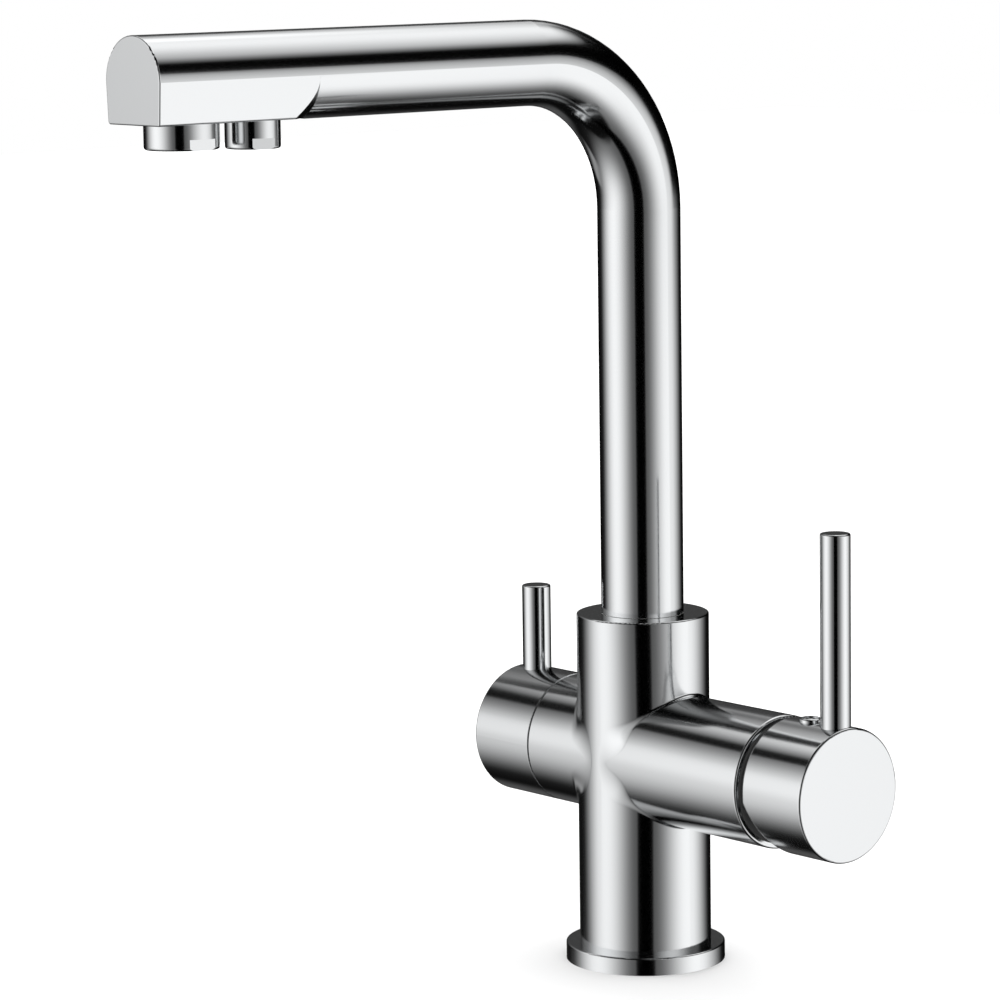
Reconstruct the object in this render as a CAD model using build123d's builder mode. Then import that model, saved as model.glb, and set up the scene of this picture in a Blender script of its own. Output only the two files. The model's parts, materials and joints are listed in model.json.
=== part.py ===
"""Three way filtered water tap: hot and cold through a side mixer, filtered water apart.

The frame has its origin in the worktop, at the centre of the base, with +Z up.
The spout points along -Y, the mixer arm along +X and the filtered water arm along -X.
Sizes are millimetres, and both handles are drawn closed, with their levers upright.
"""

from build123d import *
import os
from math import hypot, radians, sqrt, tan

os.makedirs("parts", exist_ok=True)

# ---------------------------------------------------------------- fits and finish
running = 0.05  # radial clearance of a piece that turns in another
slip = 0.1  # radial clearance of a piece that is pushed in and stays
face_gap = 0.05  # between two faces that slide on each other
edge_round = 0.5  # polished outer edges

# ---------------------------------------------------------------- base and body
flange_radius = 27.2
flange_height = 6.0
foot_radius = 19.0
base_seal_inner = 21.5
base_seal_width = 3.0
base_seal_height = 2.0

body_radius = 22.5
body_top = 120.0
arm_radius = 22.3
arm_axis_z = 71.5
mixer_arm_end = 68.0
filter_arm_end = 34.7  # towards -X
crossing_round = 1.0
mixer_arm_round = 0.8  # edge of the mixer arm's end
parting_round = 0.3  # both edges of the parting between filtered water arm and cap

# ---------------------------------------------------------------- connections below
stud_radius = 4.0
stud_depth = 14.0
port_radius = 5.0
port_depth = 12.0
port_circle = 10.5  # from the centre of the base to the filtered water port
water_way_radius = 3.0
filter_way_radius = 2.0
riser_wall = 1.0  # between the mixed water's riser and the seal of the filtered water tube

# ---------------------------------------------------------------- spout swivel
swivel_bore = 12.5
swivel_depth = 25.0
swivel_floor_gap = 0.5
swivel_through = 9.5
bearing_width = 1.4
bearing_height = 2.5
spout_lift = 0.1  # the tube runs just clear of the bearing ring
swivel_groove_depth = 1.5
swivel_seal_section = 2.4
swivel_seal_rises = (11.0, 17.0)  # above the floor of the bore
lock_rise = 6.0
lock_groove_width = 3.8
lock_screw_radius = 2.0
lock_tip_radius = 1.6
lock_tip_length = 2.0
lock_screw_length = 9.0
lock_key_radius = 1.1
lock_key_depth = 2.0

# ---------------------------------------------------------------- spout
tube_radius = 14.0
tube_wall = 1.2
spout_axis_z = 307.5
bend_radius = 50.0
spout_reach = 206.0  # from the swivel axis to the end face
fitting_insert = 14.0

nose_bottom = 13.2  # flat underside, below the spout axis
nose_draw_in = 0.7  # the sides draw in this much from the axis to the underside
nose_corner_round = 1.0
nose_length = 61.0  # from the end face back to where a cone turns the nose into a tube
cone_angle = 25.5
run_out_length = 6.0

filter_tube_radius = 3.2
filter_tube_wall = 0.9
socket_depth = 10.5
socket_seal_width = 1.4
socket_seal_height = 2.0
socket_seal_drop = 4.5  # from the swivel floor down to the top of the seal's groove

# ---------------------------------------------------------------- outlets
outlet_edge_round = 0.9
outlet_fit = 0.1
spigot_height = 6.0
flats_height = 3.4

main_outlet_inset = 17.8  # from the end face to the outlet's axis
main_outlet_radius = 11.65
main_outlet_height = 8.0
main_spigot_radius = 9.5
main_bore = 8.6
main_flats = 21.3
main_flats_turn = 0.0
main_cell_circles = (0.0, 2.9, 5.6)
main_cell_counts = (1, 6, 12)
main_cell_radius = 1.1

outlet_spacing = 27.1
small_outlet_radius = 8.7
small_outlet_height = 9.0
small_spigot_radius = 6.5
small_bore = 5.7
small_flats = 15.7
small_flats_turn = -12.0
small_cell_circles = (0.0, 2.8)
small_cell_counts = (1, 6)
small_cell_radius = 1.0

washer_thickness = 1.6
washer_overlap = 1.8
insert_recess = 0.5
insert_height = 7.5
insert_plate = 2.2
insert_wall = 1.0

block_top = 6.0  # above the spout axis
block_tail = 6.8  # behind the small outlet's axis
block_clearance = 0.15

# ---------------------------------------------------------------- mixer cartridge
pivot_depth = 9.0  # from the end of the arm in to the pivot of the handle
ball_arm = 9.5  # from the pivot to the ball in the disc carrier
ball_radius = 3.0
ball_clearance = 0.12
ball_neck_radius = 2.4

carrier_rise = 0.9  # above the ball's centre
carrier_floor = 0.9  # below the pocket of the ball
carrier_radius = 13.0
carrier_offset = -2.0  # closed, the disc stands this far below the arm axis
carrier_lift = 0.05
rib_side = 9.0
rib_width = 2.0
rib_length = 10.0
rib_height = 1.3
rib_clearance = 0.1

moving_disc_thickness = 3.05
moving_disc_radius = 12.4
mixing_recess_radius = 8.0
mixing_recess_depth = 1.5
fixed_disc_thickness = 3.35
fixed_disc_radius = 15.0
base_thickness = 4.4
base_lift = 0.3

port_side = 7.4  # hot and cold ports, to each side of the arm axis
port_drop = 6.0  # and below it
outlet_rise = 8.0  # mixed water port, above the arm axis
port_seal_inner = 3.1
port_seal_width = 1.5
port_seal_recess = 1.0

chamber_radius = 17.4
thread_radius = 19.0
cavity_radius = 15.5
rotor_radius = 11.9
rotor_flange_radius = 14.5
rotor_flange_thickness = 2.3
rotor_gap = 0.3
rotor_rise = 6.0  # past the pivot
neck_radius = 13.8
neck_rise = 4.5
nut_seat_drop = 2.0
nut_height = 6.0
nut_notches = 6
nut_notch_width = 3.0
nut_notch_depth = 2.5

spindle_radius = 4.0
spindle_inset = 7.0  # from the face of the cap to the spindle's end
spindle_flat = 3.4
slot_half_height = 7.8
spindle_pin_radius = 1.5
spindle_pin_inset = 0.6

dome_radius = 17.8  # about the pivot, so that the cap can tilt over it
dome_wall = 1.0
dome_flange_thickness = 1.2
dome_flange_bore = 15.6
dome_mouth = 10.8

# ---------------------------------------------------------------- mixer handle
rim_gap = 3.0  # between the arm and the cap
cap_length = 27.0
cap_edge_round = 0.8  # round the flat faces of both caps
rim_round = 1.0  # outer edge of the cap's rim, cut back or not
cap_hollow_clearance = 0.8  # between the dome and the hollow of the cap
rim_wall = 3.5
rim_depth = 2.5
relief_start = 3.0  # below the arm axis
relief_angle = 23.0

lever_radius = 5.0
lever_spigot_radius = 3.0
lever_spigot_length = 11.0
lever_seat_drop = 1.1
lever_edge_round = 0.6
mixer_lever_inset = 5.8  # from the face of the cap
mixer_lever_top = 157.0

grub_radius = 2.5
grub_length = 8.0
grub_key_radius = 1.3
grub_key_depth = 3.0
plug_spacing = 11.5  # from the lever
plug_radius = 3.65
plug_seat_drop = 0.4
plug_height = 1.5
plug_stem_radius = 3.1
plug_stem_length = 2.4
plug_round = 0.7
plug_lip = 0.9  # width of the lip round the plug's dished top
plug_dish_depth = 0.5
plug_dome_radius = 2.4
plug_dome_height = 0.4

# ---------------------------------------------------------------- filtered water valve
valve_depth = 21.2  # from the end of the arm
valve_bore = 10.5
valve_recess_radius = 15.0
valve_recess_depth = 4.2
valve_outlet_rise = 8.0
valve_inlet_radius = 2.5
seat_seal_outer = 7.5
seat_seal_inner = 4.0
seat_seal_thickness = 2.0
valve_disc_radius = 7.9
valve_disc_thickness = 3.2
valve_port_radius = 2.2
valve_port_offset = 4.2
valve_hex_flats = 24.0
valve_hex_height = 5.0
valve_neck_radius = 7.5
valve_neck_height = 6.5
stem_radius = 4.5
stem_flange_thickness = 2.1
stem_inset = 11.0  # from the face of the cap to the stem's end
stem_groove_floor = 3.2
stem_seal_width = 1.9
stem_seal_places = (6.0, 12.0)  # beyond the disc cavity
clip_outer = 6.5
clip_thickness = 1.0
clip_groove_floor = 3.6
clip_opening = 6.0

# ---------------------------------------------------------------- filtered water handle
filter_gap = 0.5
filter_cap_length = 27.8
filter_cap_wall = 3.3
filter_cavity_depth = 11.8
filter_boss_radius = 8.0
filter_boss_height = 3.0
filter_lever_inset = 8.0
filter_lever_top = 123.0
filter_grub_spacing = 5.5  # from the lever

# ---------------------------------------------------------------- places worked out
base_seal_outer = base_seal_inner + base_seal_width
swivel_floor = body_top - swivel_depth
swivel_groove_floor = swivel_bore - swivel_groove_depth
bearing_outer = swivel_bore + bearing_width
spout_start = body_top + spout_lift
lock_height = swivel_floor + lock_rise
socket_seal_top = swivel_floor - socket_seal_drop
socket_seal_outer = filter_tube_radius + socket_seal_width
filter_end_z = swivel_floor - socket_depth + face_gap
mixed_riser_x = socket_seal_outer + riser_wall + water_way_radius
outlet_way_z = arm_axis_z + outlet_rise

nose_half_width = tube_radius - nose_draw_in
cone_start = spout_reach - nose_length
main_outlet_y = spout_reach - main_outlet_inset
small_outlet_y = main_outlet_y - outlet_spacing
block_rear = small_outlet_y - block_tail
nose_z = spout_axis_z - nose_bottom

# The mixer's pieces stack inwards from the pivot to the floor of its chamber.
pivot_x = mixer_arm_end - pivot_depth
ball_x = pivot_x - ball_arm
carrier_top_x = ball_x + carrier_rise
pocket_floor_x = ball_x - ball_radius - ball_clearance
carrier_x = pocket_floor_x - carrier_floor
carrier_thickness = carrier_top_x - carrier_x
moving_disc_x = carrier_x - carrier_lift - moving_disc_thickness
fixed_disc_x = moving_disc_x - face_gap - fixed_disc_thickness
base_x = fixed_disc_x - base_thickness
chamber_floor_x = base_x - base_lift
rotor_x = carrier_top_x + rotor_gap
rotor_body_x = rotor_x + rotor_flange_thickness
rotor_end_x = pivot_x + rotor_rise
neck_end_x = pivot_x + neck_rise
nut_seat_x = pivot_x - nut_seat_drop
nut_end_x = nut_seat_x + nut_height
dome_flange_x = nut_end_x + slip
cartridge_radius = chamber_radius - slip
spindle_pin_length = 2 * (rotor_radius - spindle_pin_inset)
port_seal_outer = port_seal_inner + port_seal_width
cartridge_ports = ((port_side, -port_drop), (-port_side, -port_drop), (0, outlet_rise))

cap_radius = arm_radius
cap_rim_x = mixer_arm_end + rim_gap
cap_face_x = cap_rim_x + cap_length
cap_hollow_radius = dome_radius + cap_hollow_clearance
hollow_end_x = pivot_x + cap_hollow_radius
spindle_end_x = cap_face_x - spindle_inset
mixer_lever_x = cap_face_x - mixer_lever_inset
plug_x = mixer_lever_x - plug_spacing

# On the filtered water side every length runs towards -X.
valve_floor_x = filter_arm_end - valve_depth
valve_recess_x = filter_arm_end - valve_recess_depth
seat_x = valve_floor_x + seat_seal_thickness
valve_disc_x = seat_x + valve_disc_thickness + face_gap
stem_flange_x = valve_disc_x + valve_disc_thickness
valve_cavity_end = stem_flange_x + stem_flange_thickness + face_gap
valve_hex_end = valve_recess_x + valve_hex_height
valve_neck_end = valve_hex_end + valve_neck_height
filter_rim_x = filter_arm_end + filter_gap
filter_face_x = filter_rim_x + filter_cap_length
filter_cavity_end = filter_rim_x + filter_cavity_depth
filter_boss_start = filter_cavity_end - filter_boss_height
stem_end_x = filter_face_x - stem_inset
filter_lever_x = filter_face_x - filter_lever_inset
filter_grub_x = filter_lever_x - filter_grub_spacing


# ---------------------------------------------------------------- planes and helpers
def arm_plane(x):
    """The plane square to the arms at x, facing +X, centred on the arm axis."""
    return Plane(origin=(x, 0, arm_axis_z), x_dir=(0, 1, 0), z_dir=(1, 0, 0))


def filter_plane(x):
    """The plane square to the arms at -x, facing -X, centred on the arm axis."""
    return Plane(origin=(-x, 0, arm_axis_z), x_dir=(0, -1, 0), z_dir=(-1, 0, 0))


def pin_plane(y):
    """The plane square to the mixer's pivot pin at y, facing +Y, centred on the pin."""
    return Plane(origin=(pivot_x, y, arm_axis_z), x_dir=(1, 0, 0), z_dir=(0, 1, 0))


def nose_plane(y):
    """The plane square to the spout at -y, facing -Y, centred on the spout axis."""
    return Plane(origin=(0, -y, spout_axis_z), x_dir=(1, 0, 0), z_dir=(0, -1, 0))


def lock_plane(y):
    """The plane square to the spout's lock screw at y, facing +Y, centred on the screw."""
    return Plane(origin=(0, y, lock_height), x_dir=(1, 0, 0), z_dir=(0, 1, 0))


def down_plane(x, y, z):
    """A plane that faces down."""
    return Plane(origin=(x, y, z), x_dir=(1, 0, 0), z_dir=(0, 0, -1))


def up_plane(x, y, z):
    """A plane that faces up."""
    return Plane(origin=(x, y, z), x_dir=(1, 0, 0), z_dir=(0, 0, 1))


arm_section = Plane(origin=(0, 0, arm_axis_z), x_dir=(1, 0, 0), z_dir=(0, -1, 0))
arm_axis = Axis((0, 0, arm_axis_z), (1, 0, 0))
spout_axis = Axis((0, 0, spout_axis_z), (0, -1, 0))
spout_side = Plane(origin=(0, 0, spout_axis_z), x_dir=(0, -1, 0), z_dir=(-1, 0, 0))


def disc(plane, radius, height, mode=Mode.ADD):
    """A round disc or cylinder that stands on a plane."""
    with BuildSketch(plane) as outline:
        Circle(radius)
    extrude(outline.sketch, amount=height, mode=mode)


def ring(plane, outer, inner, height, mode=Mode.ADD):
    """A plain ring that stands on a plane."""
    with BuildSketch(plane) as outline:
        Circle(outer)
        Circle(inner, mode=Mode.SUBTRACT)
    extrude(outline.sketch, amount=height, mode=mode)


def turn_on_arm(*outline, mode=Mode.ADD):
    """Turn a closed outline of (x, radius) points about the arm axis."""
    with BuildSketch(arm_section) as section:
        with BuildLine():
            Polyline(*outline, close=True)
        make_face()
    revolve(section.sketch, axis=arm_axis, mode=mode)


def top_rim(radius_rank=-1):
    """One of the round edges of the highest flat face, by radius."""
    return edges().filter_by(GeomType.CIRCLE).group_by(Axis.Z)[-1].sort_by(SortBy.RADIUS)[radius_rank]


def on_ball(radius, x):
    """The point at x on a circle about the mixer's pivot."""
    return (x, sqrt(radius**2 - (x - pivot_x) ** 2))


def on_cap_rim(edge):
    """Whether an edge belongs to the outer edge of the mixer cap's rim."""
    middle = edge @ 0.5
    outside = hypot(middle.Y, middle.Z - arm_axis_z) > cap_radius - running
    return edge.geom_type != GeomType.LINE and outside and middle.X < (cap_rim_x + cap_face_x) / 2


def finish(part, name):
    """Name a finished piece and write it."""
    part.part.label = name
    export_step(part.part, f"parts/{name}.step")


# ================================================================ base and body
with BuildPart() as base_flange:
    ring(Plane.XY, flange_radius, foot_radius + slip, flange_height)
    fillet(top_rim(), edge_round)
    ring(Plane.XY, base_seal_outer + slip, base_seal_inner - slip, base_seal_height, Mode.SUBTRACT)
finish(base_flange, "base_flange")

with BuildPart() as base_seal:
    ring(Plane.XY, base_seal_outer, base_seal_inner, base_seal_height)
finish(base_seal, "base_seal")

with BuildPart() as body_casting:
    # Upright and arms, blended where they cross.
    disc(Plane.XY.offset(flange_height), body_radius, body_top - flange_height)
    disc(arm_plane(-filter_arm_end), arm_radius, filter_arm_end + mixer_arm_end)
    crossing = edges().filter_by(lambda e: e.geom_type not in (GeomType.LINE, GeomType.CIRCLE))
    fillet(crossing, crossing_round)
    fillet(top_rim(), edge_round)
    arm_ends = edges().filter_by(GeomType.CIRCLE).sort_by(Axis.X)
    fillet(arm_ends[-1], mixer_arm_round)
    fillet(arm_ends[0], parting_round)
    disc(Plane.XY, foot_radius, flange_height)
    # Spout swivel: bearing recess, seal bore, and the socket of the filtered water tube.
    with Locations(up_plane(0, 0, body_top)):
        CounterBoreHole(swivel_bore, bearing_outer + slip, bearing_height, swivel_depth)
    with Locations(up_plane(0, 0, swivel_floor)):
        CounterBoreHole(
            filter_way_radius,
            filter_tube_radius + running,
            socket_depth,
            swivel_floor - arm_axis_z - valve_outlet_rise + filter_way_radius,
        )
    ring(
        up_plane(0, 0, socket_seal_top - socket_seal_height),
        socket_seal_outer + running,
        filter_tube_radius,
        socket_seal_height,
        Mode.SUBTRACT,
    )
    # Rear hole of the screw that keeps the spout down.
    with Locations(lock_plane(body_radius)):
        Hole(lock_screw_radius + running, body_radius - swivel_groove_floor)
    # Mixer chamber with the nut's thread, and the cartridge's three water ways.
    with Locations(arm_plane(mixer_arm_end)):
        CounterBoreHole(
            chamber_radius,
            thread_radius,
            mixer_arm_end - nut_seat_x,
            mixer_arm_end - chamber_floor_x,
        )
    for side in (-1, 1):
        with Locations(arm_plane(chamber_floor_x)):
            with Locations((side * port_side, -port_drop)):
                Hole(water_way_radius, chamber_floor_x - port_side)
        with Locations(down_plane(port_side, side * port_side, 0)):
            CounterBoreHole(
                water_way_radius,
                port_radius,
                port_depth,
                arm_axis_z - port_drop + water_way_radius,
            )
    with Locations(arm_plane(chamber_floor_x)):
        with Locations((0, outlet_rise)):
            Hole(water_way_radius, chamber_floor_x - mixed_riser_x)
    with Locations(up_plane(mixed_riser_x, 0, swivel_floor)):
        Hole(water_way_radius, swivel_floor - outlet_way_z + water_way_radius)
    # Filtered water valve: its bore, the recess of its hexagon, its inlet and outlet.
    with Locations(filter_plane(filter_arm_end)):
        CounterBoreHole(
            valve_bore,
            valve_recess_radius,
            filter_arm_end - valve_recess_x,
            filter_arm_end - valve_floor_x,
        )
    with Locations(filter_plane(valve_floor_x)):
        Hole(valve_inlet_radius, valve_floor_x - port_circle + valve_inlet_radius)
        with Locations((0, valve_outlet_rise)):
            Hole(filter_way_radius, valve_floor_x)
    with Locations(down_plane(-port_circle, 0, 0)):
        CounterBoreHole(valve_inlet_radius, port_radius, port_depth, arm_axis_z)
    # The stud that pulls the tap down to the worktop screws in at the centre.
    with Locations(down_plane(0, 0, 0)):
        Hole(stud_radius, stud_depth)
finish(body_casting, "body_casting")

with BuildPart() as spout_bearing_ring:
    ring(up_plane(0, 0, body_top - bearing_height), bearing_outer, swivel_bore + running, bearing_height)
finish(spout_bearing_ring, "spout_bearing_ring")

with BuildPart() as spout_lock_screw:
    tip_start = swivel_groove_floor + 2 * slip
    disc(lock_plane(tip_start), lock_tip_radius, lock_tip_length)
    disc(lock_plane(tip_start + lock_tip_length), lock_screw_radius, lock_screw_length)
    with BuildSketch(lock_plane(tip_start + lock_tip_length + lock_screw_length)):
        RegularPolygon(lock_key_radius, 6)
    extrude(amount=-lock_key_depth, mode=Mode.SUBTRACT)
finish(spout_lock_screw, "spout_lock_screw")

with BuildPart() as inner_tube_seal:
    seal_height = socket_seal_height - 2 * face_gap
    ring(
        up_plane(0, 0, socket_seal_top - socket_seal_height + face_gap),
        socket_seal_outer,
        filter_tube_radius + running,
        seal_height,
    )
finish(inner_tube_seal, "inner_tube_seal")

# ================================================================ mixer cartridge
with BuildPart() as cartridge_base:
    disc(arm_plane(base_x), cartridge_radius, base_thickness)
    with BuildSketch(arm_plane(base_x)):
        with Locations(*cartridge_ports):
            Circle(port_seal_outer + slip)
    extrude(amount=port_seal_recess, mode=Mode.SUBTRACT)
    with BuildSketch(arm_plane(base_x)):
        with Locations(*cartridge_ports):
            Circle(port_seal_inner)
    extrude(amount=base_thickness, mode=Mode.SUBTRACT)
finish(cartridge_base, "cartridge_base")

for name, place in zip(("cold_port_seal", "hot_port_seal", "mixed_port_seal"), cartridge_ports):
    with BuildPart() as port_seal:
        with BuildSketch(arm_plane(chamber_floor_x)):
            with Locations(place):
                Circle(port_seal_outer)
                Circle(port_seal_inner, mode=Mode.SUBTRACT)
        extrude(amount=base_lift + port_seal_recess)
    finish(port_seal, name)

with BuildPart() as mixer_fixed_disc:
    with BuildSketch(arm_plane(fixed_disc_x)):
        Circle(fixed_disc_radius)
        with Locations(*cartridge_ports):
            Circle(port_seal_inner, mode=Mode.SUBTRACT)
    extrude(amount=fixed_disc_thickness)
finish(mixer_fixed_disc, "mixer_fixed_disc")

with BuildPart() as cartridge_housing:
    turn_on_arm(
        (fixed_disc_x, cavity_radius),
        (fixed_disc_x, cartridge_radius),
        (nut_seat_x, cartridge_radius),
        (nut_seat_x, neck_radius),
        (neck_end_x, neck_radius),
        (neck_end_x, rotor_radius + slip),
        (rotor_body_x + face_gap, rotor_radius + slip),
        (rotor_body_x + face_gap, cavity_radius),
    )
finish(cartridge_housing, "cartridge_housing")

with BuildPart() as cartridge_nut:
    ring(arm_plane(nut_seat_x), thread_radius - running, neck_radius + slip, nut_end_x - nut_seat_x)
    with BuildSketch(arm_plane(nut_end_x)):
        with PolarLocations((thread_radius + neck_radius) / 2, nut_notches):
            Rectangle(2 * (thread_radius - neck_radius), nut_notch_width)
    extrude(amount=-nut_notch_depth, mode=Mode.SUBTRACT)
finish(cartridge_nut, "cartridge_nut")

with BuildPart() as cartridge_cover_dome:
    flange_top = dome_flange_x + dome_flange_thickness
    mouth_x = pivot_x + sqrt(dome_radius**2 - dome_mouth**2)
    inner_mouth_x = pivot_x + sqrt((dome_radius - dome_wall) ** 2 - dome_mouth**2)
    inner_start_x = pivot_x + sqrt((dome_radius - dome_wall) ** 2 - dome_flange_bore**2)
    with BuildSketch(arm_section):
        with BuildLine():
            outside = ThreePointArc(
                on_ball(dome_radius, flange_top),
                on_ball(dome_radius, (flange_top + mouth_x) / 2),
                (mouth_x, dome_mouth),
            )
            inside = ThreePointArc(
                (inner_mouth_x, dome_mouth),
                on_ball(dome_radius - dome_wall, (inner_start_x + inner_mouth_x) / 2),
                (inner_start_x, dome_flange_bore),
            )
            Line(outside @ 1, inside @ 0)
            Polyline(
                inside @ 1,
                (dome_flange_x, dome_flange_bore),
                (dome_flange_x, thread_radius - slip),
                (flange_top, thread_radius - slip),
                outside @ 0,
            )
        make_face()
    revolve(axis=arm_axis)
finish(cartridge_cover_dome, "cartridge_cover_dome")

with BuildPart() as mixer_moving_disc:
    with BuildSketch(arm_plane(moving_disc_x)):
        with Locations((0, carrier_offset)):
            Circle(moving_disc_radius)
    extrude(amount=moving_disc_thickness)
    with BuildSketch(arm_plane(moving_disc_x)):
        with Locations((0, carrier_offset)):
            Circle(mixing_recess_radius)
    extrude(amount=mixing_recess_depth, mode=Mode.SUBTRACT)
finish(mixer_moving_disc, "mixer_moving_disc")

with BuildPart() as disc_carrier:
    with BuildSketch(arm_plane(carrier_x)):
        with Locations((0, carrier_offset)):
            Circle(carrier_radius)
    extrude(amount=carrier_thickness)
    # Two ribs run in the rotor's grooves, so the carrier turns with it and slides across it.
    with BuildSketch(arm_plane(carrier_top_x)):
        with Locations((-rib_side, carrier_offset), (rib_side, carrier_offset)):
            Rectangle(rib_width, rib_length)
    extrude(amount=rib_height)
    # The spindle's ball moves the carrier by this pocket.
    with BuildSketch(arm_plane(carrier_top_x)):
        Rectangle(2 * (ball_radius + ball_clearance), 2 * (ball_radius + ball_clearance))
    extrude(amount=pocket_floor_x - carrier_top_x, mode=Mode.SUBTRACT)
finish(disc_carrier, "disc_carrier")

with BuildPart() as cartridge_rotor:
    disc(arm_plane(rotor_x), rotor_flange_radius, rotor_flange_thickness)
    disc(arm_plane(rotor_body_x), rotor_radius, rotor_end_x - rotor_body_x)
    with BuildSketch(arm_plane(rotor_x)):
        Rectangle(2 * (spindle_radius + slip), 2 * slot_half_height)
    extrude(amount=rotor_end_x - rotor_x, mode=Mode.SUBTRACT)
    with BuildSketch(arm_plane(rotor_x)):
        with Locations((-rib_side, 0), (rib_side, 0)):
            Rectangle(rib_width + 2 * rib_clearance, 2 * rotor_flange_radius)
    extrude(amount=rib_height, mode=Mode.SUBTRACT)
    with Locations(pin_plane(rotor_radius)):
        Hole(spindle_pin_radius + running / 2, 2 * rotor_radius)
finish(cartridge_rotor, "cartridge_rotor")

with BuildPart() as spindle_pin:
    disc(pin_plane(-spindle_pin_length / 2), spindle_pin_radius, spindle_pin_length)
finish(spindle_pin, "spindle_pin")

with BuildPart() as mixer_spindle:
    # The ball, its neck and the round shank are turned in one piece.
    neck_x = ball_x + sqrt(ball_radius**2 - ball_neck_radius**2)
    with BuildSketch(arm_section):
        with BuildLine():
            ball = ThreePointArc(
                (ball_x - ball_radius, 0), (ball_x, ball_radius), (neck_x, ball_neck_radius)
            )
            Polyline(
                ball @ 1,
                (pivot_x - spindle_radius, ball_neck_radius),
                (pivot_x - spindle_radius, spindle_radius),
                (spindle_end_x, spindle_radius),
                (spindle_end_x, 0),
                ball @ 0,
            )
        make_face()
    revolve(axis=arm_axis)
    with Locations(pin_plane(spindle_radius)):
        Hole(spindle_pin_radius + running, 2 * spindle_radius)
    with BuildSketch(arm_plane(hollow_end_x)):
        with Locations((0, spindle_flat)):
            Rectangle(2 * spindle_radius, spindle_radius, align=(Align.CENTER, Align.MIN))
    extrude(amount=spindle_end_x - hollow_end_x, mode=Mode.SUBTRACT)
finish(mixer_spindle, "mixer_spindle")

# ================================================================ mixer handle
with BuildPart() as mixer_handle_cap:
    disc(arm_plane(cap_rim_x), cap_radius, cap_face_x - cap_rim_x)
    fillet(edges().sort_by(Axis.X)[-1], cap_edge_round)
    # The inside is a shallow rim and a ball-shaped hollow about the pivot.
    step_x = cap_rim_x + rim_depth
    rim_bore = cap_radius - rim_wall
    with BuildSketch(arm_section):
        with BuildLine():
            hollow = ThreePointArc(
                on_ball(cap_hollow_radius, step_x),
                on_ball(cap_hollow_radius, (step_x + hollow_end_x) / 2),
                (hollow_end_x, 0),
            )
            Polyline(
                hollow @ 1,
                (cap_rim_x, 0),
                (cap_rim_x, rim_bore),
                (step_x, rim_bore),
                hollow @ 0,
            )
        make_face()
    revolve(axis=arm_axis, mode=Mode.SUBTRACT)
    # The underside of the rim is cut back, so that the cap can tilt towards the arm.
    relief_drop = cap_radius + edge_round
    with BuildSketch(arm_section):
        with BuildLine():
            Polyline(
                (cap_rim_x - edge_round, -relief_start),
                (cap_rim_x, -relief_start),
                (
                    cap_rim_x + (relief_drop - relief_start) * tan(radians(relief_angle)),
                    -relief_drop,
                ),
                (cap_rim_x - edge_round, -relief_drop),
                close=True,
            )
        make_face()
    extrude(amount=cap_radius, both=True, mode=Mode.SUBTRACT)
    fillet(edges().filter_by(on_cap_rim), rim_round)
    # Spindle hole, lever seat, and the grub screw's hole below the plug.
    disc(
        arm_plane(hollow_end_x - rim_depth),
        spindle_radius + running,
        spindle_end_x + running - hollow_end_x + rim_depth,
        Mode.SUBTRACT,
    )
    with Locations(up_plane(mixer_lever_x, 0, arm_axis_z + cap_radius)):
        CounterBoreHole(
            lever_spigot_radius + running,
            lever_radius + running,
            lever_seat_drop,
            lever_seat_drop + lever_spigot_length + slip,
        )
    with Locations(up_plane(plug_x, 0, arm_axis_z + cap_radius)):
        CounterBoreHole(
            plug_stem_radius + running,
            plug_radius + running,
            plug_seat_drop,
            plug_seat_drop + plug_stem_length,
        )
        Hole(grub_radius + running, cap_radius)
finish(mixer_handle_cap, "mixer_handle_cap")


def lever_pin(x, top):
    """A straight round lever with a threaded spigot, standing in a handle cap."""
    seat_z = arm_axis_z + cap_radius - lever_seat_drop
    disc(up_plane(x, 0, seat_z), lever_radius, top - seat_z)
    fillet(top_rim(), lever_edge_round)
    disc(down_plane(x, 0, seat_z), lever_spigot_radius, lever_spigot_length)


def grub_screw(plane):
    """A headless screw with a hexagon socket; the plane is at its tip."""
    disc(plane, grub_radius, grub_length)
    with BuildSketch(plane.offset(grub_length)) as key:
        RegularPolygon(grub_key_radius, 6)
    extrude(key.sketch, amount=-grub_key_depth, mode=Mode.SUBTRACT)


with BuildPart() as mixer_lever_pin:
    lever_pin(mixer_lever_x, mixer_lever_top)
finish(mixer_lever_pin, "mixer_lever_pin")

with BuildPart() as mixer_grub_screw:
    grub_screw(up_plane(plug_x, 0, arm_axis_z + spindle_flat))
finish(mixer_grub_screw, "mixer_grub_screw")

with BuildPart() as index_plug:
    # A low button with a rounded lip, a shallow dish in its top and a domed middle.
    plug_seat_z = arm_axis_z + cap_radius - plug_seat_drop
    plug_dish_z = plug_seat_z + plug_height - plug_dish_depth
    disc(up_plane(plug_x, 0, plug_seat_z), plug_radius, plug_height)
    fillet(top_rim(), plug_round)
    disc(up_plane(plug_x, 0, plug_dish_z), plug_radius - plug_lip, plug_dish_depth, Mode.SUBTRACT)
    with BuildSketch(Plane(origin=(plug_x, 0, plug_dish_z), x_dir=(1, 0, 0), z_dir=(0, -1, 0))):
        with BuildLine():
            dome_rise = SagittaArc((plug_dome_radius, 0), (-plug_dome_radius, 0), -plug_dome_height)
            Line(dome_rise @ 1, dome_rise @ 0)
        make_face()
        Rectangle(plug_dome_radius, plug_dome_height, align=(Align.MAX, Align.MIN), mode=Mode.SUBTRACT)
    revolve(axis=Axis((plug_x, 0, plug_dish_z), (0, 0, 1)))
    disc(down_plane(plug_x, 0, plug_seat_z), plug_stem_radius, plug_stem_length)
finish(index_plug, "index_plug")

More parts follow.
